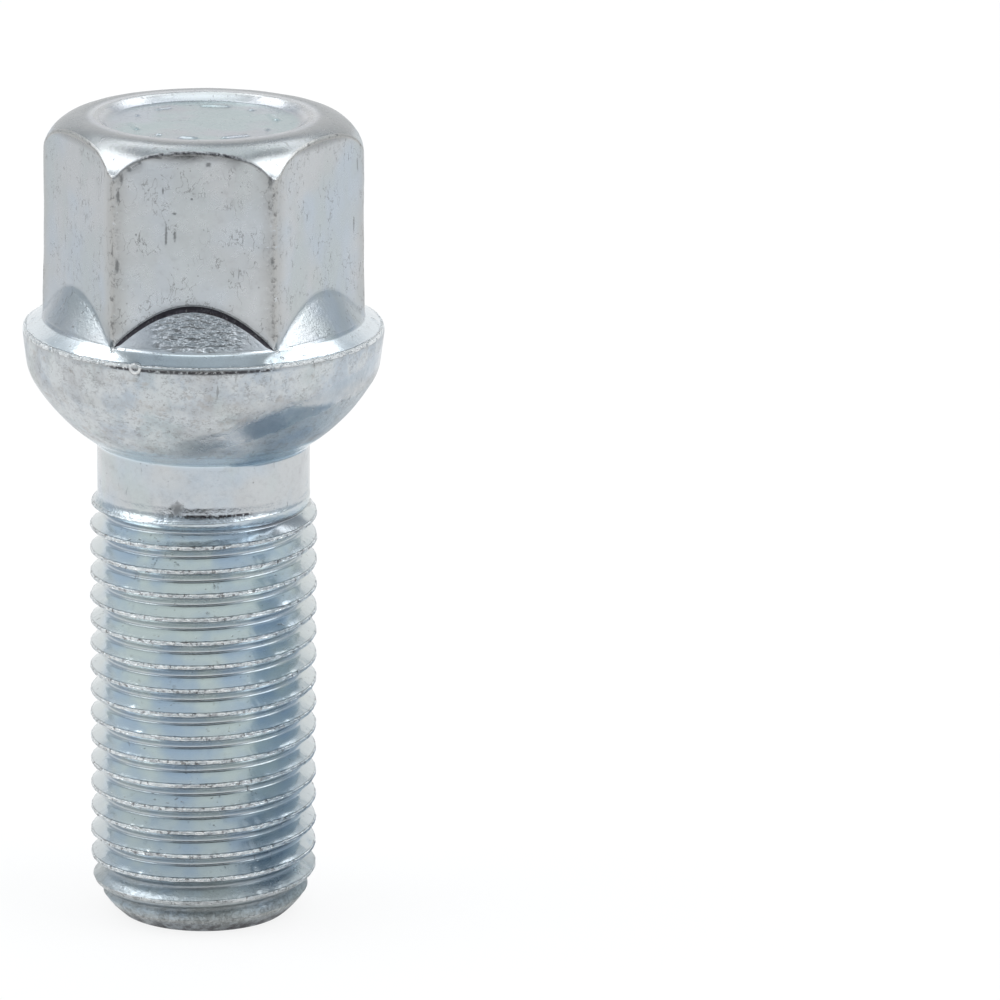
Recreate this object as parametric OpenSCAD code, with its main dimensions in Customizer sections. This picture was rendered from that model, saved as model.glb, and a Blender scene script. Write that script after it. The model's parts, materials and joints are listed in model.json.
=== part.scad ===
// Wheel bolt, cold forged from one blank: a domed hexagon head over a flared
// skirt and collar, a ball seat, a plain neck and a rolled right-hand thread.
// It stands on the flat end of its thread, with +Z up along its axis.

/* [Thread] */
// Diameter over the thread's crests, a little under the nominal 14
thread_d = 13.85; // [13.4:0.05:15]
// Distance from one crest to the next
pitch = 1.5; // [1.25:0.05:1.75]
// Height of the thread's upper end above the end face
thread_l = 26.8; // [20:0.1:40]
// Height over which the upper end of the thread runs out into the neck
runout_l = 1.3; // [1:0.1:3]
// Diameter of the flat end face
end_d = 10.4; // [9:0.1:11.5]
// Height of the rounded point between the end face and the first full crest
point_l = 3; // [1.5:0.1:5]
// Height of the crest that faces +X above the end face, within one pitch
crest_z = 1.23; // [0:0.01:1.5]

/* [Neck and seat] */
// Diameter of the plain neck, which is the blank that the thread is rolled on
neck_d = 12.92; // [12.5:0.02:13.2]
// Length of the plain neck from the end of the thread to the seat
neck_l = 3.05; // [1:0.05:20]
// Radius of the fillet where the neck meets the seat
neck_fillet_r = 0.6; // [0.3:0.1:1]
// Radius of the ball seat
seat_r = 12.05; // [12:0.05:14]
// Height from the neck's end to the collar that the seat runs up into
seat_h = 4.67; // [4:0.01:6]

/* [Collar] */
// Diameter of the collar at its widest
collar_d = 21.9; // [21.4:0.1:23]
// How much narrower in diameter the collar's wall is at its foot
collar_taper = 0.54; // [0:0.02:1]
// Height of the collar's wall from its foot to its widest point
collar_h = 2.33; // [1:0.05:5]
// Radius of the collar's rounded upper edge
collar_edge_r = 0.2; // [0.1:0.05:0.8]
// Slope of the collar's upper face, in degrees
collar_slope = 28; // [10:1:40]

/* [Head] */
// Width across the flats of the hexagon
hex_af = 17; // [16.4:0.1:17.4]
// Radius on the six upright corners
hex_corner_r = 1; // [0.5:0.1:1.5]
// Height of the head from the foot of the skirt to its top
head_h = 12.35; // [10:0.05:20]
// Radius of the domed shoulder round the top
shoulder_r = 2.5; // [1.5:0.1:2.8]
// Slope of the skirt that stands proud of the flats' lower ends, in degrees
skirt_slope = 64; // [55:1:72]
// How far the skirt's foot stands out past the hexagon's corners
skirt_w = 0.1; // [0.05:0.05:0.3]

/* [Recess in the top] */
// Diameter along the crest of the rounded lip
lip_d = 13.3; // [10:0.1:14]
// Radius of the rounded lip
lip_r = 0.55; // [0.3:0.05:0.8]
// Width of the slope from the lip down to the recess's flat floor
recess_w = 0.8; // [0.6:0.05:1.5]
// Depth of the floor below the crest of the lip
recess_depth = 0.42; // [0.3:0.05:1.5]

/* [Hidden] */
// Steps round one turn of the thread, and smoothness of the round forms
turn_steps = 36;
$fn = 96;

thread_r = thread_d / 2;
neck_r = neck_d / 2;
end_r = end_d / 2;
collar_r = collar_d / 2;
flat_r = hex_af / 2;
lip_at_r = lip_d / 2;

// Angle at which a rounded corner of the hexagon meets the flats
corner_crease = 8;
// Centre of a rounded corner, and how far the corner reaches
corner_at_r = (flat_r - hex_corner_r * cos(corner_crease)) / cos(30);
corner_out_r = corner_at_r + hex_corner_r;
skirt_r = corner_out_r + skirt_w;
// The shoulder starts this much outside the corners
shoulder_gap = 0.05;
shoulder_at_r = corner_out_r + shoulder_gap - shoulder_r;

// One pitch of the thread, as [height above the crest's middle, radius] points:
// crest flat, root edge, bottom of the rounded root, root edge
crest_w = pitch / 8;
root_edge_r = thread_r - 0.5413 * pitch;
root_r = thread_r - 0.6134 * pitch;
form = [
    [-crest_w / 2, thread_r],
    [crest_w / 2, thread_r],
    [0.375 * pitch, root_edge_r],
    [0.5 * pitch, root_r],
    [0.625 * pitch, root_edge_r]
];
form_n = len(form);
// Turns that the grid holds, with two spare ones at each end to be trimmed
grid_n = form_n * (ceil(thread_l / pitch) + 4);
// A point closer than this to either end is laid on that end
snap = 0.03;
// How far the thread's last ring lies inside the neck
ring_in = 0.02;
// How far a line or face runs inside the one that it meets, so that they cross
bite = 0.02;
// How far the thread's core reaches up into the neck
core_lap = 0.5;

// Heights up the bolt
seat_z = thread_l + neck_l;
seat_ball_z = seat_z + sqrt(seat_r ^ 2 - neck_r ^ 2);
wall_r0 = collar_r - collar_taper / 2;
wall_z0 = seat_z + seat_h;
wall_z1 = wall_z0 + collar_h;
// Point where the collar's rounded edge meets its sloping upper face
edge_r = collar_r - collar_edge_r * (1 - sin(collar_slope));
edge_z = wall_z1 + collar_edge_r * cos(collar_slope);
skirt_z = edge_z + (edge_r - skirt_r) * tan(collar_slope);
// The skirt is a cone that ends inside the hexagon
skirt_top_r = flat_r - 0.5;
skirt_top_z = skirt_z + (skirt_r - skirt_top_r) * tan(skirt_slope);
top_z = skirt_z + head_h;
// The hexagon starts inside the collar
hex_z = wall_z1;

// Radius of the collar's wall at a height
function wall_r(z) = wall_r0 + (collar_r - bite - wall_r0) * (z - wall_z0) / collar_h;
// Radius that the rounded point allows at a height
function point_r(z) =
    z >= point_l ? thread_r : thread_r - (thread_r - end_r) * (1 - z / point_l) ^ 2;
// Share of the thread's depth that is left at a height in the run-out
function depth_left(z) = let (t = (thread_l - z) / runout_l) min(1, max(0, t));
// Height of a grid point before it is trimmed, and its radius
function raw_z(i, m) =
    crest_z + form[m % form_n][0] + pitch * (i / turn_steps + floor(m / form_n) - 2);
function flank_r(m, z) =
    let (s = depth_left(z), ring_r = neck_r - ring_in)
    min(point_r(z), ring_r + (form[m % form_n][1] - ring_r) * s * s * (3 - 2 * s));
// First and last grid rows that count in a column
function low_m(i) = max([for (m = [0:grid_n - 1]) if (raw_z(i, m) <= snap) m]);
function high_m(i) = min([for (m = [0:grid_n - 1]) if (raw_z(i, m) >= thread_l - snap) m]);

// The right-hand thread with its core, one closed skin wound up a helix
module thread() {
    low = [for (i = [0:turn_steps - 1]) low_m(i)];
    high = [for (i = [0:turn_steps - 1]) high_m(i)];
    points = [
        for (i = [0:turn_steps - 1], m = [0:grid_n - 1])
            let (
                z = m <= low[i] ? 0
                    : m < high[i] ? raw_z(i, m)
                    : m == high[i] ? thread_l : thread_l + core_lap,
                r = flank_r(m, z),
                a = 360 * i / turn_steps
            )
            [r * cos(a), r * sin(a), z]
    ];
    // A column's row, moved up one turn past the last column
    function at(i, m) =
        let (c = i % turn_steps, k = i < turn_steps ? m : m + form_n)
        c * grid_n + min(high[c] + 1, max(low[c], k));
    sides = [
        for (i = [0:turn_steps - 1], m = [0:grid_n - 2])
            let (a = at(i, m), b = at(i + 1, m), c = at(i + 1, m + 1), d = at(i, m + 1))
            each [if (a != d) [a, d, c], if (b != c) [a, c, b]]
    ];
    foot = [for (i = [0:turn_steps - 1]) at(i, 0)];
    roof = [for (i = [turn_steps - 1:-1:0]) at(i, grid_n - 1)];
    polyhedron(points, concat([foot, roof], sides), convexity = 10);
}

// Half section of the neck, the ball seat, the collar and the skirt
module body_section() {
    // Neck
    neck_z = thread_l + bite;
    translate([0, neck_z]) square([neck_r, wall_z1 - neck_z]);
    // Fillet between the neck and the seat
    fillet_z = seat_ball_z - sqrt((seat_r + neck_fillet_r) ^ 2 - (neck_r + neck_fillet_r) ^ 2);
    touch = (seat_r - 2 * bite) / (seat_r + neck_fillet_r);
    touch_z = seat_ball_z - (seat_ball_z - fillet_z) * touch;
    difference() {
        polygon([
            [0, fillet_z],
            [neck_r + bite, fillet_z],
            [(neck_r + neck_fillet_r) * touch, touch_z],
            [0, touch_z]
        ]);
        translate([neck_r + neck_fillet_r, fillet_z]) circle(neck_fillet_r + bite);
    }
    // Ball seat, cut by the cone of the collar's wall that it runs up into
    under_z = seat_z - 1;
    intersection() {
        translate([0, seat_ball_z]) circle(seat_r);
        polygon([
            [0, under_z],
            [wall_r(under_z), under_z],
            [wall_r(wall_z0 + bite), wall_z0 + bite],
            [0, wall_z0 + bite]
        ]);
    }
    // Collar and skirt
    polygon([
        [0, wall_z0],
        [wall_r(wall_z0), wall_z0],
        [wall_r(wall_z1), wall_z1],
        [edge_r - bite * sin(collar_slope), edge_z - bite * cos(collar_slope)],
        [skirt_r, skirt_z],
        [skirt_top_r, skirt_top_z],
        [0, skirt_top_z]
    ]);
    // Rounded upper edge of the collar
    translate([collar_r - collar_edge_r, wall_z1]) circle(collar_edge_r);
}

// Half section that domes the hexagon's top, with the lip and the recess
module dome_section() {
    shoulder_z = top_z - shoulder_r;
    under_z = hex_z - 1;
    floor_z = top_z - recess_depth;
    difference() {
        union() {
            translate([0, under_z]) square([shoulder_at_r + shoulder_r, shoulder_z - under_z]);
            translate([0, under_z]) square([shoulder_at_r, top_z - bite - under_z]);
            translate([shoulder_at_r, shoulder_z]) circle(shoulder_r);
        }
        polygon([
            [0, floor_z],
            [lip_at_r - recess_w, floor_z],
            [lip_at_r, top_z],
            [0, top_z + 1]
        ]);
    }
    // Rounded lip round the recess
    translate([lip_at_r, top_z - lip_r]) circle(lip_r);
}

// Upright hexagon with rounded corners
module hexagon() {
    sharp_r = flat_r / cos(30);
    difference() {
        polygon([for (i = [0:5]) sharp_r * [cos(60 * i), sin(60 * i)]]);
        for (i = [0:5]) rotate(60 * i) difference() {
            translate([corner_at_r + hex_corner_r * cos(30), -hex_corner_r]) square(2 * hex_corner_r);
            translate([corner_at_r, 0]) circle(hex_corner_r);
        }
    }
}

// The whole bolt, one forged piece
module wheel_bolt() {
    color("lightsteelblue") union() {
        thread();
        rotate_extrude() body_section();
        intersection() {
            translate([0, 0, hex_z]) linear_extrude(top_z - hex_z + 1) hexagon();
            rotate_extrude() dome_section();
        }
    }
}

wheel_bolt();
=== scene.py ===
import json
import math

import bmesh
import bpy
import numpy as np
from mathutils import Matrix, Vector, noise


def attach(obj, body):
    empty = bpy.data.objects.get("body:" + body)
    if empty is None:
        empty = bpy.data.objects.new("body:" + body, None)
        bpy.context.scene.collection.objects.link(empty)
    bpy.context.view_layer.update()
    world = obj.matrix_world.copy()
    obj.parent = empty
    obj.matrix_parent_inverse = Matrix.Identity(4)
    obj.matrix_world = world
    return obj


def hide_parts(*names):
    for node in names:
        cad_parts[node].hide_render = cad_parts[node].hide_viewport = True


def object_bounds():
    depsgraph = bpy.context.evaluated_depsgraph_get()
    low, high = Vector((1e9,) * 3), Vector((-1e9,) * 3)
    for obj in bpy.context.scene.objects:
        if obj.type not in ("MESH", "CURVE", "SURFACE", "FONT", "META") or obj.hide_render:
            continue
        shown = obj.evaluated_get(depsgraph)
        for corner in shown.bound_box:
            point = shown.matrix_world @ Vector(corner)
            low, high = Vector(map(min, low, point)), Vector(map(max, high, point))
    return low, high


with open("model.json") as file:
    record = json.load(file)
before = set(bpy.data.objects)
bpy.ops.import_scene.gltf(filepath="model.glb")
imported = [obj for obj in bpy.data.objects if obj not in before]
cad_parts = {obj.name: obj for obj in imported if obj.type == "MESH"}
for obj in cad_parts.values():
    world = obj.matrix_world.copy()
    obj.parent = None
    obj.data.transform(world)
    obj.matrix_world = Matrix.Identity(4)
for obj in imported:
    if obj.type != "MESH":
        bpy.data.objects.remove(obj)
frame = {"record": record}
cad_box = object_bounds()


# Thread
# The lower part of the blank, rolled into a right-hand thread of 1.5 mm pitch. Rolling
# folds each crest up from both sides, which leaves a fine seam along it, and the end of
# the bolt is rounded so that it finds its hole. All sizes of the bolt are millimetres.
mounts = {mount["name"]: mount for mount in frame["record"]["mounts"]}
thread_r = mounts["thread"]["dims"]["r_mm"]
neck_r = 6.46
pitch = 1.5
thread_l = 26.8
end_r = 5.2
point_l = 3.0
crest_z = 1.23
root_r = thread_r - 0.6134 * pitch
seam_depth = 0.035

# The skin is a grid: columns run up the bolt and crowd towards the hexagon's six corners
columns = 240
crowding = 0.7
share = np.arange(columns) / columns
turn = 2 * np.pi * share - crowding * np.sin(12 * np.pi * share) / 6

# Half of one ridge from the crest's seam to the root: height off the middle, and radius
ridge = [
    (0.000, thread_r - seam_depth),
    (0.045, thread_r - 0.005),
    (0.095, thread_r - 0.020),
    (0.150, thread_r - 0.097),
    (0.520, thread_r - 0.738),
    (0.620, root_r + 0.030),
    (pitch / 2, root_r),
]
form = np.array(ridge + [(pitch - height, radius) for height, radius in ridge[-2:0:-1]])
ridge_rub = np.array([0.7, 0.8, 1.0, 0.4, 0.0, 0.0, 0.0, 0.0, 0.0, 0.3, 0.8, 0.8])
# Painted shade: the side that faces down and the root are painted darker than the side that faces
# up
ridge_shade = np.array([0.1, 0.0, 0.0, 0.0, 0.1, 0.6, 0.9, 0.6, 0.2, 0.15, 0.1, 0.0])
ridge_runout = 1.15
groove_end, groove_runout = 26.05, 0.5


def fade(share_left):
    left = np.clip(share_left, 0, 1)
    return left * left * (3 - 2 * left)


def thread_rows():
    """Radius, height, rub and groove of the thread's grid points, and where its rows stop."""
    rows = np.arange(len(form) * (math.ceil(thread_l / pitch) + 4))
    step, part = np.divmod(rows, len(form))
    height = crest_z + form[part, 0] + pitch * (turn[:, None] / (2 * np.pi) + step - 2)
    snap = 0.03
    low = (height <= snap).sum(axis=1) - 1
    high = (height < thread_l - snap).sum(axis=1)
    for column in range(columns):
        height[column, :low[column] + 1] = 0
        height[column, high[column]:] = thread_l
    # Towards the neck the groove ends first, and the ridge fades out half a turn later
    ridge_left = fade((thread_l - height) / ridge_runout)
    groove_left = fade((groove_end - height) / groove_runout)
    above = form[part, 1] - neck_r
    radius = neck_r + above * np.where(above > 0, ridge_left, groove_left)
    blunt = np.clip(1 - height / point_l, 0, 1)
    radius = np.minimum(radius, thread_r - (thread_r - end_r) * blunt ** 2)
    return radius, height, ridge_rub[part] * ridge_left, ridge_shade[part] * ridge_left, low, high


# Neck, seat, collar and head
# One forging above the thread: the plain neck is the blank itself, the seat is part of a
# ball that beds into the wheel, and the hexagon runs down into a cone-shaped skirt on
# the collar. The top is domed, with a shallow round recess pressed into it.
seat_r = mounts["ball_seat"]["dims"]["r_mm"]
seat_ball_z = 40.02
neck_fillet_r = 0.6
collar_r = cad_box[1][0] * 1000
collar_taper = 0.27
collar_h = 2.23
flash_r, flash_z = 10.85, 37.05
collar_slope = math.radians(28)
flat_r = 8.5
corner_r = 1.0
worn_corner_z = 43.0
foot_corner_r = 0.3
skirt_slope = math.radians(64)
skirt_r, skirt_z = 9.77, 37.60
shoulder_r = 2.5
shoulder_at_r = 7.21
top_z = cad_box[1][2] * 1000
lip_at_r = 6.65
lip_r = 0.55
recess_w = 0.80
recess_depth = 0.42

# Degrees from each column to the nearest corner of the hexagon
off_corner = np.abs((np.degrees(turn) + 30) % 60 - 30)
# The corners are rubbed in a wide faint band, with a narrow one along its middle
corner_rub = 0.42 * np.clip(1.5 - off_corner / 4, 0, 1) + 0.22 * np.clip(1.5 - off_corner, 0, 1)
# 1 on the columns of the front flat
front = np.where(np.cos(turn + math.pi / 2) > math.cos(math.radians(30)), 1.0, 0.0)


def hexagon(rounding):
    """Radius of the hexagon at each column, with its corners rounded."""
    middle = (flat_r - rounding) / math.cos(math.radians(30))
    across = np.minimum(middle * np.sin(np.radians(off_corner)), rounding)
    on_corner = middle * np.cos(np.radians(off_corner)) + np.sqrt(rounding ** 2 - across ** 2)
    on_flat = flat_r / np.cos(np.radians(30 - off_corner))
    ends = math.degrees(math.atan2(rounding / 2, middle + rounding * math.cos(math.radians(30))))
    return np.where(off_corner < ends, on_corner, on_flat)


class HalfSection:
    """A half section drawn point by point, with a radius and a height for every column."""

    def __init__(self, radius, height):
        self.radii, self.heights = [], []
        self.wear_and_shade = {"rub": [], "cast": [], "groove": []}
        self.put(radius, height)

    def put(self, radius, height, **wear_and_shade):
        self.radii.append(radius + 0 * turn)
        self.heights.append(height + 0 * turn)
        for name, values in self.wear_and_shade.items():
            values.append(wear_and_shade.get(name, 0.0) + 0 * turn)

    def line(self, radius, height, steps, **wear_and_shade):
        start_r, start_z = self.radii[-1], self.heights[-1]
        for t in np.arange(1, steps + 1) / steps:
            self.put(start_r + (radius - start_r) * t, start_z + (height - start_z) * t, **wear_and_shade)

    def bend(self, corner, end, steps=4, cast=0.0, rub=0.0, groove=0.0):
        """Rounds a corner: a curve that starts towards it and comes in line with the end."""
        start_r, start_z = self.radii[-1], self.heights[-1]
        for t in np.arange(1, steps + 1) / steps:
            a, b, c, most = (1 - t) ** 2, 2 * t * (1 - t), t ** 2, math.sin(math.pi * t)
            self.put(a * start_r + b * corner[0] + c * end[0],
                     a * start_z + b * corner[1] + c * end[1],
                     cast=cast, rub=rub * most, groove=groove * most)

    def arc(self, centre, radius, start, stop, steps, **wear_and_shade):
        for t in np.arange(1, steps + 1) / steps:
            angle = start + (stop - start) * t
            self.put(centre[0] + radius * np.cos(angle), centre[1] + radius * np.sin(angle), **wear_and_shade)


def neck_and_seat(section):
    fillet_r = neck_r + neck_fillet_r
    fillet_z = seat_ball_z - math.sqrt((seat_r + neck_fillet_r) ** 2 - fillet_r ** 2)
    touch = math.atan2(seat_ball_z - fillet_z, -fillet_r)
    section.line(neck_r, fillet_z, 9, cast=0.25)
    section.arc((fillet_r, fillet_z), neck_fillet_r, math.pi, touch, 5)
    wall_r = collar_r - collar_taper
    wall_z = seat_ball_z - math.sqrt(seat_r ** 2 - wall_r ** 2)
    # The seat is rough from a little above the fillet to its edge, which turns up into the wall
    rough_from = touch - math.pi + 0.08
    seat_end = math.atan2(wall_z - seat_ball_z, wall_r) - 0.05
    section.arc((0, seat_ball_z), seat_r, touch - math.pi, rough_from, 3, cast=0.4)
    section.arc((0, seat_ball_z), seat_r, rough_from, seat_end, 19, cast=1.0)
    edge_w, edge_h = 0.07, 0.6
    section.bend((wall_r, wall_z), (wall_r + edge_w, wall_z + edge_h), rub=0.2, cast=1.0)
    section.line(collar_r, wall_z + collar_h, 6, cast=1.0)


def collar_and_skirt(section, hex_r):
    # The wall turns over a tight edge to the flash line, where the two dies met
    section.bend((collar_r, flash_z - 0.06), (flash_r + 0.05, flash_z - 0.02), 5,
                 rub=0.25, cast=0.7)
    section.bend((flash_r, flash_z + 0.03), (flash_r - 0.08, flash_z + 0.04), 3, rub=1.3)
    foot = 0.12
    ring_end = (skirt_r + foot * math.cos(collar_slope), skirt_z - foot * math.sin(collar_slope))
    section.line(*ring_end, 5)
    # The skirt ends where it runs into the flats and corners
    crease_z = skirt_z + (skirt_r - hex_r) * math.tan(skirt_slope)
    length = (skirt_r - hex_r) / math.cos(skirt_slope)
    crease_fillet = 0.44
    foot = np.minimum(foot, 0.20 * length)
    fillet = np.minimum(crease_fillet, 0.75 * length)
    section.bend((skirt_r, skirt_z),
                 (skirt_r - foot * math.cos(skirt_slope), skirt_z + foot * math.sin(skirt_slope)))
    # The crease under the front flat is painted black as shade, on the front only
    section.line(hex_r + fillet * math.cos(skirt_slope),
                 crease_z - fillet * math.sin(skirt_slope), 9, groove=1.0 * front, cast=0.15)
    section.bend((hex_r, crease_z), (hex_r, crease_z + 0.25 * fillet), 8,
                 groove=2.6 * front, cast=0.1)


def flats_and_dome(section, hex_r):
    shoulder_z = top_z - shoulder_r
    meet = np.arccos((hex_r - shoulder_at_r) / shoulder_r)
    meet_z = shoulder_z + shoulder_r * np.sin(meet)
    blend = 0.2
    # The corners are sharp at the foot, and rounded by wear from worn_corner_z up
    section.line(hex_r, worn_corner_z, 8, rub=corner_rub)
    section.line(hex_r, meet_z - blend, 9, rub=corner_rub)
    over = meet + blend / shoulder_r
    over_end = (shoulder_at_r + shoulder_r * np.cos(over), shoulder_z + shoulder_r * np.sin(over))
    # Painted shade: a dark line along the top of the front flat
    section.bend((hex_r, meet_z), over_end, 5, rub=0.8, groove=front)
    section.arc((shoulder_at_r, shoulder_z), shoulder_r, over, math.pi / 2, 10)


def recess(section):
    floor_r, floor_z = lip_at_r - recess_w, top_z - recess_depth
    away = math.hypot(recess_w, recess_depth - lip_r)
    slope = math.atan2(recess_depth - lip_r, recess_w) + math.asin(lip_r / away)
    section.line(lip_at_r, top_z, 3)
    section.arc((lip_at_r, top_z - lip_r), lip_r, math.pi / 2, math.pi / 2 + slope, 5, rub=0.3)
    turn_in = 0.12
    section.line(floor_r + turn_in * math.cos(slope), floor_z + turn_in * math.sin(slope), 3)
    section.bend((floor_r, floor_z), (floor_r - turn_in, floor_z))
    # Fine rows where the raised marks are, and wide ones inside them
    inside_marks_r, hub_r = 3.2, 0.5
    section.line(inside_marks_r, floor_z, 22)
    section.line(hub_r, floor_z, 6)


def head_section():
    """The half section from the neck's foot to the middle of the recess floor."""
    section = HalfSection(neck_r, thread_l)
    neck_and_seat(section)
    collar_and_skirt(section, hexagon(foot_corner_r))
    flats_and_dome(section, hexagon(corner_r))
    recess(section)
    return section


def bolt_mesh():
    """The whole skin, closed at the end face and at the middle of the recess floor."""
    radius, height, rub, groove, low, high = thread_rows()
    rows = radius.shape[1]
    section = head_section()
    stride = rows + len(section.radii) - 1
    radius = np.hstack([radius, np.array(section.radii[1:]).T])
    height = np.hstack([height, np.array(section.heights[1:]).T])
    wear_and_shade = {"rub": rub, "groove": groove, "cast": 0 * rub}
    wear_and_shade = {name: np.hstack([values, np.array(section.wear_and_shade[name][1:]).T]).ravel()
            for name, values in wear_and_shade.items()}

    def point(column, row):
        """Number of the grid point, where rows past an end of the thread fall together."""
        column, lap = column % columns, column // columns
        if row < rows:
            row = min(max(row + lap * len(form), low[column]), high[column])
        return int(column * stride + row)

    where = np.stack([radius * np.cos(turn)[:, None], radius * np.sin(turn)[:, None], height],
                     axis=2)
    mesh = bmesh.new()
    for name in wear_and_shade:
        mesh.verts.layers.float.new(name)
    verts = [mesh.verts.new(place) for place in where.reshape(-1, 3)]
    for name, values in wear_and_shade.items():
        layer = mesh.verts.layers.float[name]
        for vert, value in zip(verts, values):
            vert[layer] = value
    for column in range(columns):
        for row in [*range(rows - 1), *range(rows, stride - 1)]:
            ring = [point(column, row), point(column + 1, row), point(column + 1, row + 1),
                    point(column, row + 1)]
            ring = [p for k, p in enumerate(ring) if p != ring[k - 1]]
            if len(ring) > 2:
                mesh.faces.new([verts[p] for p in ring])
        # The thread's last ring joins the neck
        mesh.faces.new([verts[p] for p in (point(column, rows - 1), point(column + 1, rows - 1),
                                           point(column + 1, rows), point(column, rows))])
    # End face, in rings, and middle of the recess floor
    end_rings = (5.1, 3.4, 1.7)
    for row, inner in ((0, end_rings), (stride - 1, ())):
        ring = [verts[point(column, row)] for column in range(columns)]
        for size in inner:
            inward = [mesh.verts.new((size * math.cos(a), size * math.sin(a), ring[0].co.z))
                      for a in turn]
            for k in range(columns):
                mesh.faces.new([ring[k - 1], ring[k], inward[k], inward[k - 1]])
            ring = inward
        hub = mesh.verts.new((0, 0, ring[0].co.z))
        for k in range(columns):
            mesh.faces.new([ring[k - 1], ring[k], hub])
    for vert in [vert for vert in mesh.verts if not vert.link_faces]:
        mesh.verts.remove(vert)
    bmesh.ops.recalc_face_normals(mesh, faces=mesh.faces)
    return mesh


# Raised marks on the recess floor: plain bars and dots in a ring. Each is an angle in
# degrees, and half its length, which is 0 for a dot
mark_ring_r = 4.35
mark_half_w = 0.30
mark_h = 0.10
marks = [(20, 0.75), (52, 0.0), (84, 0.75), (128, 0.4), (160, 0.0), (200, 0.75), (236, 0.0),
         (262, 0.4), (300, 0.75), (336, 0.0)]

# Knocks, burrs and pulled flash: angle, radius, height, size, and how far it stands out
knocks = [(-108.4, 10.80, 37.15, 0.34, 0.16), (-107.0, 10.62, 37.25, 0.16, -0.16),
          (3, 10.35, 37.40, 0.45, 0.07), (-176, 10.35, 37.40, 0.42, 0.07),
          (-63, 10.75, 37.15, 0.55, -0.05), (-120, 9.75, 37.75, 0.22, 0.10),
          (-60, 9.75, 37.75, 0.20, 0.10), (-100.3, 6.46, 27.20, 0.45, -0.05),
          (62, 9.30, 48.60, 0.60, -0.06), (140, 10.85, 36.90, 0.50, -0.08),
          (-35, 6.90, 20.10, 0.35, -0.10), (75, 6.90, 12.60, 0.40, -0.12)]

# Unevenness of the forging, and of what is rubbed: how far it strays, and how fine it is
sway, sway_fineness = 0.022, 0.55
rubbed_sways = [(0.035, 1.7), (0.03, 4.1)]
# A point this close to a height lies at it
level = 0.01


def uneven(mesh):
    """Gives the skin the small unevenness of a forging, its marks and its knocks."""
    mesh.normal_update()
    rub_layer = mesh.verts.layers.float["rub"]
    floor_z = top_z - recess_depth
    bars = []
    for angle, half in marks:
        a = math.radians(angle)
        middle = Vector((math.cos(a), math.sin(a))) * mark_ring_r
        bars.append((middle, Vector((-math.sin(a), math.cos(a))), half))
    spots = [(Vector((r * math.cos(math.radians(a)), r * math.sin(math.radians(a)), z)), size, out)
             for a, r, z, size, out in knocks]
    for vert in mesh.verts:
        place, out = vert.co.copy(), 0.0
        if place.z > level:
            out += sway * noise.noise(place * sway_fineness)
            out += vert[rub_layer] * sum(far * noise.noise(place * fine)
                                         for far, fine in rubbed_sways)
        if abs(place.z - floor_z) < level:
            for middle, along, half in bars:
                off = place.to_2d() - middle
                length = max(-half, min(half, off.dot(along)))
                near = (off - along * length).length / mark_half_w
                out += mark_h * (1 - min(1.0, near) ** 2) ** 2
        for middle, size, height in spots:
            near = (place - middle).length / size
            if near < 1:
                out += height * (1 - near ** 2) ** 2
        vert.co = place + vert.normal * out


skin = bolt_mesh()
uneven(skin)
bmesh.ops.scale(skin, vec=(0.001, 0.001, 0.001), verts=skin.verts)
bolt_data = bpy.data.meshes.new("bolt_skin")
skin.to_mesh(bolt_data)
skin.free()
bolt_data.shade_smooth()
bolt = bpy.data.objects.new("bolt_skin", bolt_data)
bpy.context.scene.collection.objects.link(bolt)
bolt.modifiers.new("even shading", "WEIGHTED_NORMAL")


# Zinc plating
# A few thousandths of a millimetre of bright zinc over the whole bolt, passivated, so it
# is satin and faintly blue. It is rubbed grey on the crests and edges, and mottled where
# the forging under it is rough. Lengths in this material are millimetres as well.
class Wire:
    """A socket in a material's node tree. Arithmetic on it adds Math nodes."""

    def __init__(self, tree, socket=None):
        self.tree, self.socket = tree, socket

    def add(self, kind, settings=None, sockets=None, out=0):
        """Adds a node: its settings first, then its sockets. Returns one of its outputs."""
        made = self.tree.nodes.new(kind)
        for name, value in (settings or {}).items():
            setattr(made, name, value)
        for name, value in (sockets or {}).items():
            if isinstance(value, Wire):
                self.tree.links.new(value.socket, made.inputs[name])
            else:
                made.inputs[name].default_value = value
        return Wire(self.tree, made.outputs[out]) if made.outputs else None

    def math(self, operation, *values):
        return self.add("ShaderNodeMath", {"operation": operation}, dict(enumerate(values)))

    def __add__(self, other):
        return self.math("ADD", self, other)

    def __radd__(self, other):
        return self.math("ADD", other, self)

    def __sub__(self, other):
        return self.math("SUBTRACT", self, other)

    def __rsub__(self, other):
        return self.math("SUBTRACT", other, self)

    def __mul__(self, other):
        return self.math("MULTIPLY", self, other)

    def __rmul__(self, other):
        return self.math("MULTIPLY", other, self)

    def between(self, low, high):
        """0 below low, 1 above high, smooth in between."""
        return self.add("ShaderNodeMapRange", {"interpolation_type": "SMOOTHSTEP"},
                        {"Value": self, "From Min": low, "From Max": high})

    def hump(self, middle, half, soft):
        """1 within half of the middle, falling to 0 over the soft width on either side."""
        return 1 - self.math("ABSOLUTE", self - middle).between(half, half + soft)

    def noise(self, place, scale, detail=2.0, roughness=0.5):
        return self.add("ShaderNodeTexNoise", {}, {
            "Vector": place, "Scale": scale, "Detail": detail, "Roughness": roughness})

    def stretch(self, place, factors):
        return self.add("ShaderNodeVectorMath", {"operation": "MULTIPLY"}, {0: place, 1: factors})

    def blend(self, first, second):
        """A colour between two colours, by this value."""
        return self.add("ShaderNodeMix", {"data_type": "RGBA"},
                        {0: self, 6: first, 7: second}, out=2)


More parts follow.
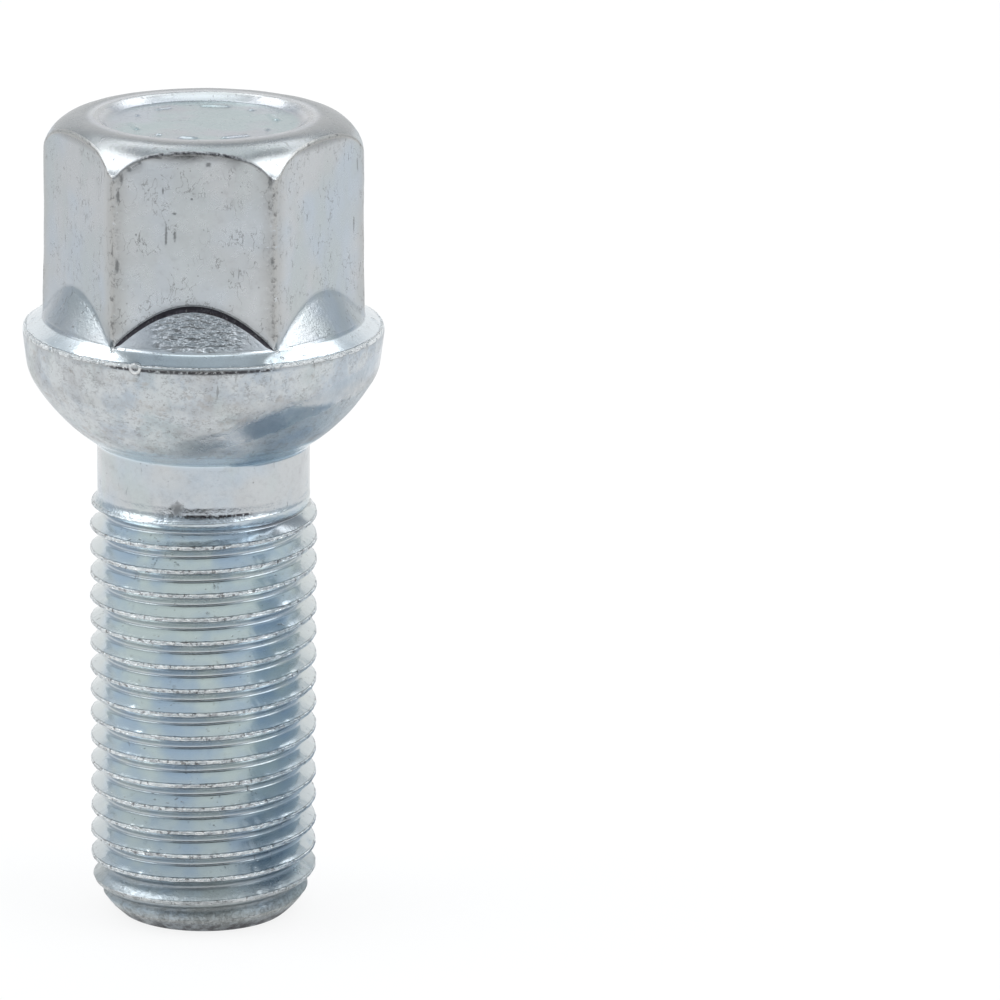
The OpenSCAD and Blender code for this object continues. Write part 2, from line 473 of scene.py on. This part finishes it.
zinc_blue = (0.50, 0.56, 0.62, 1)
zinc_green = (0.52, 0.58, 0.58, 1)
zinc_grey = (0.55, 0.57, 0.585, 1)
zinc_lavender = (0.48, 0.48, 0.56, 1)
pan_green = (0.40, 0.485, 0.495, 1)
rolled_blue = (0.585, 0.68, 0.76, 1)
rolled_green = (0.71, 0.775, 0.77, 1)
side_reflection_pale = (0.63, 0.67, 0.66, 1)
cast_pale = (0.665, 0.69, 0.70, 1)
dark_skin_and_shade = (0.38, 0.38, 0.39, 1)
cast_brown = (0.42, 0.40, 0.38, 1)
crest_grey = (0.66, 0.70, 0.72, 1)
edge_grey = (0.47, 0.465, 0.45, 1)
painted_front_light = (0.66, 0.69, 0.71, 1)
painted_light_pale = (0.76, 0.815, 0.85, 1)
fillet_reflection_blue = (0.64, 0.76, 0.83, 1)
white_wear_and_highlight = (0.88, 0.89, 0.89, 1)
painted_shade_grey = (0.27, 0.29, 0.32, 1)
crack_grey = (0.17, 0.17, 0.17, 1)
shade_and_grime_black = (0.03, 0.025, 0.032, 1)
shade_and_grime_grey = (0.24, 0.255, 0.25, 1)
reflection_blue = (0.36, 0.42, 0.48, 1)

# Grey scars, nicks and scratches: angle, radius and height of each, half its width, and
# how many times taller than wide it is
scars = [
    (-100.0, 6.50, 27.15, 0.40, 1.2), (-111, 5.9, 1.0, 0.22, 0.6), (-82, 6.9, 4.9, 0.25, 0.5),
    (-102.0, 8.69, 47.3, 0.06, 4.5), (-97.7, 8.58, 45.9, 0.15, 0.5),
    (-100.8, 8.65, 44.6, 0.08, 8.0), (-97.4, 8.57, 44.6, 0.10, 3.5),
    (-118.1, 9.63, 42.7, 0.13, 3.5), (-117.7, 9.60, 46.9, 0.12, 3.5),
    (-116.6, 9.50, 48.0, 0.13, 2.0), (-114.2, 9.32, 48.55, 0.15, 1.0),
    (-110.5, 9.08, 48.95, 0.13, 0.8), (-103.8, 8.76, 49.27, 0.22, 0.4),
    (104, 4.60, 49.53, 0.11, 1.0), (97, 5.25, 49.53, 0.12, 1.0), (-62.0, 9.64, 47.9, 0.17, 2.2),
    (-61.2, 9.71, 43.1, 0.15, 2.0), (-84.0, 8.56, 48.9, 0.20, 0.6), (-111.8, 9.16, 44.6, 0.07, 1.0),
    (-90.6, 8.50, 46.8, 0.08, 0.8), (35, 8.9, 43.0, 0.30, 1.5), (150, 11.0, 32.5, 0.45, 1.0),
    (-106.6, 10.88, 36.60, 0.12, 1.5), (-176.5, 10.40, 37.42, 0.20, 0.7),
    (-173.0, 10.70, 37.20, 0.14, 0.7), (3.5, 10.30, 37.45, 0.22, 0.7),
    (-0.5, 10.65, 37.25, 0.14, 0.7)]

# Small bright burrs: where the corners of the hexagon end in the skirt, and on the shoulder
burrs = [
    (-119.0, 9.76, 37.50, 0.20, 1.0), (-118.6, 10.00, 37.40, 0.14, 1.0),
    (-59.4, 9.76, 37.45, 0.20, 1.3), (-59.2, 10.30, 37.20, 0.16, 1.0),
    (-26.0, 9.20, 48.95, 0.14, 2.5), (-83.8, 5.05, 49.53, 0.25, 1.0)]

# Where torn flash is curled over on the front left of the collar
curl_angle, curl_r, curl_z = math.radians(-107.8), 10.90, 36.92
curl_at = (curl_r * math.cos(curl_angle), curl_r * math.sin(curl_angle), curl_z)


def zinc_material():
    zinc = bpy.data.materials.new("zinc_plated_steel")
    zinc.use_nodes = True
    zinc.node_tree.nodes.clear()
    wire = Wire(zinc.node_tree)
    at = wire.add("ShaderNodeVectorMath", {"operation": "SCALE"},
                  {0: wire.add("ShaderNodeTexCoord", out="Object"), "Scale": 1000.0})
    x, y, z = (wire.add("ShaderNodeSeparateXYZ", {}, {0: at}, out=axis) for axis in "XYZ")
    rub, cast, groove = (wire.add("ShaderNodeAttribute", {"attribute_name": name}, out="Fac")
                         for name in ("rub", "cast", "groove"))
    # Distance towards the front, and the square of the distance from the axis
    forward = 0 - y
    out_sq = x * x + y * y

    # Masks: the rolled thread, the head, its flats, its top and the floor of the recess
    rolled = 1 - z.between(thread_l - 0.9, thread_l + 0.1)
    head = z.between(37.0, 38.0)
    flats = head * (1 - z.between(49.0, 49.4))
    top = z.between(48.9, 49.4)
    pan = top * (1 - out_sq.between(30.0, 36.0))

    # Colour of the film: blue, greenish and grey clouds, and finer mottles
    cloud = wire.noise(at, 0.20, 3)
    drift = wire.noise(wire.stretch(at, (1.0, 1.0, 0.45)), 0.42, 2)
    mottle = wire.noise(at, 1.7, 4, 0.62)
    grain = wire.noise(at, 6.0, 1)
    grit = wire.noise(at, 4.5, 3, 0.7)
    tone = cloud.between(0.40, 0.62).blend(zinc_blue, zinc_grey)
    tone = (drift.between(0.46, 0.66) * 0.6).blend(tone, zinc_green)

    # Flats of the hexagon: a little darker in drifts. The front one is painted paler as light,
    # and the left one, which is 60 degrees round from it, darker as painted shade
    facing = head * forward.between(flat_r - 0.3, flat_r)
    tone = (flats * (0.06 + drift.between(0.38, 0.62) * 0.16)).blend(tone, dark_skin_and_shade)
    tone = (facing * 0.50).blend(tone, painted_front_light)
    left = flats * (0 - x * 0.866 - y * 0.5).between(flat_r - 0.3, flat_r)
    tone = (left * 0.22).blend(tone, painted_shade_grey)

    # Painted light: a paler tone on the collar's upper face and in the wrinkled front of the
    # skirt, and a painted blue reflection in the fillet under the seat
    ring = z.hump(37.30, 0.26, 0.08)
    tone = (ring * 0.9).blend(tone, painted_light_pale)
    pressed = x.hump(0.35, 1.1, 1.9) * forward.between(8.52, 8.75) * z.hump(39.15, 1.0, 0.5)
    tone = (pressed * 0.9).blend(tone, painted_light_pale)
    tone = (z.hump(30.35, 0.40, 0.30) * 0.8).blend(tone, fillet_reflection_blue)

    # Top: painted shade over the dome, darkest just outside the lip, a greenish recess with a
    # lavender stain in it, and a lip rubbed bright all round with a painted highlight on its back
    # half
    tone = (top * 0.60).blend(tone, dark_skin_and_shade)
    tone = (top * (1 - grit.between(0.40, 0.60)) * 0.3).blend(tone, zinc_lavender)
    tone = (pan * cloud.between(0.35, 0.50) * 0.85).blend(tone, pan_green)
    tone = (pan * x.hump(-4.4, 0.8, 1.0) * y.hump(1.2, 1.2, 1.2) * 0.5).blend(tone, zinc_lavender)
    lip = top * out_sq.hump(42.0, 3.5, 4.5)
    tone = (top * out_sq.between(46.0, 53.0) * 0.6).blend(tone, shade_and_grime_grey)
    tone = (lip * (0.12 + y.between(-2.0, 2.0) * 0.22)).blend(tone, white_wear_and_highlight)

    # Thread: rolled smooth, so bluer and brighter, with a painted pale reflection at its left and
    # right sides, painted shade under the first ridge, and painted shade, darker and bluer,
    # towards the foot, most on the right
    tone = rolled.blend(tone, drift.between(0.36, 0.64).blend(rolled_blue, rolled_green))
    tone = (rolled * (1 - x.hump(0, 5.6, 0.6)) * 0.8).blend(tone, side_reflection_pale)
    first = z.hump(25.38, 0.35, 0.15) * x.between(2.8, 4.2) * forward.between(1.5, 2.5)
    tone = (first * 0.85).blend(tone, painted_shade_grey)
    low = rolled * (1 - z.between(4.0, 13.0))
    low_right = x.between(1.0, 4.5) * (1 - x.between(5.4, 5.9))
    tone = (low * (0.25 + low_right * 0.4)).blend(tone, reflection_blue)
    tone = (mottle.between(0.56, 0.78) * (0.25 - rolled * 0.15)).blend(tone, dark_skin_and_shade)

    # Rough forging under the film: pale, brown and dark blotches on the seat, wall and
    # neck, and one smooth sweep up the seat, where it slid along the die, painted darker
    # and bluer as a reflection
    blotch = wire.noise(at, 0.50, 5, 0.66)
    brown = wire.noise(wire.stretch(at, (1.0, 1.0, 1.5)), 0.8, 4, 0.7)
    veins = wire.noise(wire.stretch(at, (1.0, 1.0, 1.8)), 1.9, 4, 0.7).hump(0.5, 0.010, 0.02)
    slid = z - x * 0.37 + (blotch - 0.5) * 1.1
    sweep = slid.hump(31.45, 0.40, 0.55) * x.between(-2.5, 2.5) * forward.between(-3.5, -0.5) * cast
    coarse = cast * (1 - sweep * 0.8)
    tone = (coarse * blotch.between(0.42, 0.60) * 0.75).blend(tone, cast_pale)
    tone = (coarse * (1 - blotch.between(0.30, 0.47)) * 0.5).blend(tone, dark_skin_and_shade)
    tone = (coarse * brown.between(0.54, 0.68) * 0.55).blend(tone, cast_brown)
    tone = (coarse * grit.between(0.50, 0.72) * 0.45).blend(tone, dark_skin_and_shade)
    tone = (coarse * veins * mottle.between(0.45, 0.60) * 0.5).blend(tone, crack_grey)
    tone = (sweep * (0.20 + mottle.between(0.35, 0.60) * 0.3)).blend(tone, reflection_blue)

    # Wear on crests and edges, with cracks in it, and white and dark flecks along the crests:
    # the white ones are painted glints
    chips = wire.noise(at, 3.4, 4, 0.7)
    cracks = chips.between(0.55, 0.63)
    rubbed = wire.math("MINIMUM", rub * 1.2, 1.0) * chips.between(0.30, 0.42)
    tone = rubbed.blend(tone, rolled.blend(edge_grey, crest_grey))
    tone = rub.between(0.85, 1.10).blend(tone, white_wear_and_highlight)
    fleck = wire.noise(wire.stretch(at, (1.0, 1.0, 2.6)), 2.0, 3, 0.6)
    crest = rub.between(0.35, 0.65) * rolled
    tone = (crest * fleck.between(0.52, 0.60) * 0.7).blend(tone, white_wear_and_highlight)
    tone = (crest * (1 - fleck.between(0.38, 0.46)) * 0.6).blend(tone, dark_skin_and_shade)
    tone = (rub.between(0.25, 0.75) * cracks * 0.8).blend(tone, crack_grey)

    # Painted shade: darker roots and down-facing flanks, dark broken lines painted as shadow
    # under the flash at the front, along the top of the front flat and above the first ridge,
    # and the front flat's crease painted black. The flash is chipped, and on the left and right
    # it is painted white as a highlight
    shaded = wire.math("MINIMUM", groove, 1.0)
    tone = (shaded * 0.55).blend(tone, painted_shade_grey)
    flash = z.hump(36.97, 0.10, 0.05) * (1 - x.hump(0.5, 3.7, 0.4)) * chips.between(0.40, 0.50)
    flash = flash * out_sq.between(110.0, 114.0)
    tone = flash.blend(tone, white_wear_and_highlight)
    under_flash = z.hump(36.82, 0.05, 0.07) * forward.between(9.5, 10.0) * grit.between(0.38, 0.50)
    tone = (under_flash * 0.85).blend(tone, shade_and_grime_black)
    tone = (groove * top * grit.between(0.42, 0.55) * 0.9).blend(tone, shade_and_grime_black)
    run_in = z.hump(26.74, 0.05, 0.05) * x.hump(1.3, 1.7, 0.5) * forward.between(4.0, 5.0)
    tone = (run_in * grit.between(0.40, 0.50) * 0.9).blend(tone, shade_and_grime_black)
    crease_shade = groove.between(0.95, 1.35)
    tone = (crease_shade * 0.95).blend(tone, shade_and_grime_black)

    # Short strokes, round specks, and hair scratches on the flats
    stroke = wire.noise(wire.stretch(at, (4.0, 4.0, 0.55)), 1.0, 2).between(0.66, 0.72)
    stroke = stroke * wire.noise(at, 0.45, 1).between(0.50, 0.62)
    cell = wire.add("ShaderNodeTexVoronoi", {}, {"Vector": at, "Scale": 1.5}, out="Distance")
    speck = (1 - cell.between(0.04, 0.11)) * mottle.between(0.40, 0.52)
    hair = wire.noise(wire.stretch(at, (1.0, 1.0, 0.6)), 1.4, 3, 0.6).hump(0.5, 0.004, 0.009)
    hair = hair * flats * wire.noise(at, 0.6, 1).between(0.47, 0.56)
    tone = (hair * 0.55).blend(tone, crack_grey)
    tone = (stroke * 0.5).blend(tone, crack_grey)
    tone = (speck * 0.5).blend(tone, crack_grey)

    # Grime towards the end of the thread, with a dark rim round the end face
    grime = (1 - z.between(0.8, 4.6)) * (0.55 + blotch.between(0.35, 0.6) * 0.45)
    tone = (grime * (0.5 + grit.between(0.40, 0.60) * 0.4)).blend(tone, shade_and_grime_grey)
    rim = (1 - z.between(0.30, 0.95)) * (0.4 + mottle.between(0.4, 0.6) * 0.4)
    tone = rim.blend(tone, shade_and_grime_black)

    # Scars, burrs, and the curl of torn flash
    def spots(places):
        """1 on each place's ragged spot, and 0 away from them."""
        found = None
        for angle, radius, height, half, tall in places:
            a = math.radians(angle)
            place = (radius * math.cos(a), radius * math.sin(a), height / tall)
            away = wire.add("ShaderNodeVectorMath", {"operation": "DISTANCE"},
                            {0: wire.stretch(at, (1, 1, 1 / tall)), 1: place}, out="Value")
            spot = 1 - (away + (chips - 0.5) * 2.4 * half).between(half * 0.4, half * 1.2)
            found = spot if found is None else found.math("MAXIMUM", found, spot)
        return found

    scar, burr = spots(scars), spots(burrs)
    curl = wire.add("ShaderNodeVectorMath", {"operation": "DISTANCE"},
                    {0: at, 1: curl_at}, out="Value")
    curl = (curl + (chips - 0.5) * 0.15).hump(0.30, 0.05, 0.09)
    tone = (scar * 0.6).blend(tone, crack_grey)
    tone = wire.math("MAXIMUM", burr, curl).blend(tone, white_wear_and_highlight)

    # Relief: satin grain, cast skin, worn edges, and wrinkles pressed into the front skirt
    wrinkle = wire.noise(wire.stretch(at, (1.5, 1.5, 3.4)), 1.1, 2, 0.5) - 0.5
    start = z.hump(26.4, 0.5, 0.4)
    relief = grain * 0.002 + mottle * 0.006
    relief = relief + coarse * (blotch * 0.04 + mottle * 0.03 + grit * 0.02)
    relief = relief + rub * rub * chips * 0.09 + wrinkle * pressed - scar * 0.012 - stroke * 0.02
    relief = relief + burr * 0.10 + curl * 0.14 + flash * chips * 0.36 + crest * fleck * 0.10
    relief = relief + start * (mottle * 0.04 + grit * 0.03) + grime * grit * 0.09
    speckled = cast.hump(0.15, 0.04, 0.03) * flats
    relief = relief + (top - pan) * grit * 0.012 + pan * mottle * 0.012 + speckled * grit * 0.02
    bump = wire.add("ShaderNodeBump", {}, {"Height": relief, "Distance": 0.001, "Strength": 1.0})

    rough = 0.11 + mottle * 0.10 + flats * 0.12 + top * 0.10 + coarse * 0.22 + start * 0.02
    rough = rough + shaded * 0.12 + rubbed * 0.06 + scar * 0.3 + grime * 0.36 + flash * 0.35
    shader = wire.add("ShaderNodeBsdfPrincipled", {}, {
        "Base Color": tone, "Metallic": 1.0, "Roughness": rough, "Normal": bump})
    wire.add("ShaderNodeOutputMaterial", {}, {"Surface": shader})
    return zinc


bolt_data.materials.append(zinc_material())
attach(bolt, "root")
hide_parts("wheel_bolt")


# Floor and backdrop
# A plain white sheet under the bolt, and a narrower one that rises behind it. They show
# white to the camera and in the zinc, and the floor keeps the bolt's soft shadow.
def plain_material(name, colour, glow=0.0):
    """A matt colour. With a glow it turns white for the camera and in reflections."""
    made = bpy.data.materials.new(name)
    made.use_nodes = True
    made.node_tree.nodes.clear()
    wire = Wire(made.node_tree)
    matte = wire.add("ShaderNodeBsdfDiffuse", {}, {"Color": colour})
    white = wire.add("ShaderNodeEmission", {}, {"Color": (1, 1, 1, 1), "Strength": 1.0})
    seen = [wire.add("ShaderNodeLightPath", out=ray)
            for ray in ("Is Camera Ray", "Is Glossy Ray", "Is Transmission Ray")]
    lit = (seen[0] + seen[1] + seen[2]) * glow
    shader = wire.add("ShaderNodeMixShader", {}, {0: lit, 1: matte, 2: white})
    wire.add("ShaderNodeOutputMaterial", {}, {"Surface": shader})
    return made


def staged(name, corners, material):
    """A flat sheet of four corners that belongs to the studio, not to the bolt."""
    data = bpy.data.meshes.new(name)
    data.from_pydata(corners, [], [(0, 1, 2, 3)])
    data.materials.append(material)
    sheet = bpy.data.objects.new(name, data)
    bpy.context.scene.collection.objects.link(sheet)
    return sheet


floor_half = 1.6
backdrop_y, backdrop_half, backdrop_h = 0.90, 0.75, 0.57
white_sheet = plain_material("white_sheet", (0.9, 0.9, 0.9, 1), glow=0.85)
staged("floor", [(-floor_half, -floor_half, 0), (floor_half, -floor_half, 0),
                 (floor_half, floor_half, 0), (-floor_half, floor_half, 0)], white_sheet)
staged("backdrop", [(-backdrop_half, backdrop_y, 0), (backdrop_half, backdrop_y, 0),
                    (backdrop_half, backdrop_y, backdrop_h),
                    (-backdrop_half, backdrop_y, backdrop_h)], white_sheet)


# Lights
# A softbox high on each side, a wide and flat one behind each of them, and a dim panel
# overhead, all turned to the bolt, in a pale room. The zinc also mirrors a dark card behind
# the camera and, low on the right, a pale card and a blue sheet that stands in for shade on
# the floor there. The camera sees none of them.
aim = Vector((0, 0, 0.026))


def direction(side, up):
    """Unit vector: side is degrees round from -Y towards +X, up is degrees above level."""
    side, up = math.radians(side), math.radians(up)
    return Vector((math.sin(side) * math.cos(up), -math.cos(side) * math.cos(up), math.sin(up)))


def softbox(name, side, up, distance, width, height, brightness, tint=(1, 1, 1)):
    """A rectangular lamp turned to the bolt. It looks as bright however large it is."""
    lamp = bpy.data.lights.new(name, "AREA")
    lamp.shape = "RECTANGLE"
    lamp.size, lamp.size_y = width, height
    lamp.color = tint
    lamp.energy = brightness * math.pi * width * height
    box = bpy.data.objects.new(name, lamp)
    towards = direction(side, up)
    box.location = aim + towards * distance
    box.rotation_euler = towards.to_track_quat("Z", "Y").to_euler()
    bpy.context.scene.collection.objects.link(box)


softbox("softbox_right", side=76, up=42, distance=0.62, width=0.46, height=0.46, brightness=2.2)
softbox("softbox_left", side=-81, up=43, distance=0.62, width=0.48, height=0.44, brightness=2.0)
softbox("wall_right", side=137, up=50, distance=0.70, width=0.60, height=0.16, brightness=1.9)
softbox("wall_left", side=-137, up=50, distance=0.70, width=0.60, height=0.16, brightness=2.1)
softbox("panel", side=177, up=79, distance=0.80, width=0.46, height=0.76, brightness=0.95,
        tint=(0.93, 1.0, 1.0))

room = bpy.data.worlds.new("pale_room")
room.use_nodes = True
room.node_tree.nodes["Background"].inputs["Color"].default_value = (0.55, 0.60, 0.64, 1)
bpy.context.scene.world = room

front_half, front_y, front_h = 0.30, -0.44, 0.21
front_card = staged("dark_card_front", [(-front_half, front_y, 0.0), (front_half, front_y, 0.0),
                                        (front_half, front_y, front_h),
                                        (-front_half, front_y, front_h)],
                    plain_material("black_card", (0.02, 0.02, 0.02, 1)))

# The blue sheet lies just over the floor beside the bolt and stands in for shade there, and
# the pale card stands on its outer edge
near_x, far_x, from_y, to_y = 0.0105, 0.022, -0.013, 0.038
card_z, card_top_z = 0.0004, 0.017
shaded_floor_sheet = staged("blue_card_right", [(near_x, from_y, card_z), (far_x, from_y, card_z),
                                      (far_x, to_y, card_z), (near_x, to_y, card_z)],
                  plain_material("blue_card", (0.26, 0.32, 0.38, 1)))
side_card = staged("pale_card_right", [(far_x, from_y, card_z), (far_x, to_y, card_z),
                                       (far_x, to_y, card_top_z), (far_x, from_y, card_top_z)],
                   plain_material("pale_card", (0.58, 0.65, 0.71, 1)))
front_card.visible_camera = False
# These two are seen only in the metal: they neither shade the floor nor tint it
for card in (shaded_floor_sheet, side_card):
    card.visible_camera = card.visible_diffuse = card.visible_shadow = False


# Camera
# It looks 16 degrees down from under half a metre away, a little right of the front. The
# lens is shifted, so that the bolt stands upright in the left half of the picture.
camera_side, camera_up, camera_distance = 4, 15.8, 0.44
looks_at = Vector((0, 0, 0.02595))
eye = bpy.data.cameras.new("camera")
eye.sensor_width = 36
eye.lens = 260.1
eye.shift_x = 0.2965
camera = bpy.data.objects.new("camera", eye)
view = direction(camera_side, camera_up)
camera.location = looks_at + view * camera_distance
camera.rotation_euler = view.to_track_quat("Z", "Y").to_euler()
bpy.context.scene.collection.objects.link(camera)
bpy.context.scene.camera = camera
bpy.context.scene.view_settings.view_transform = "Standard"
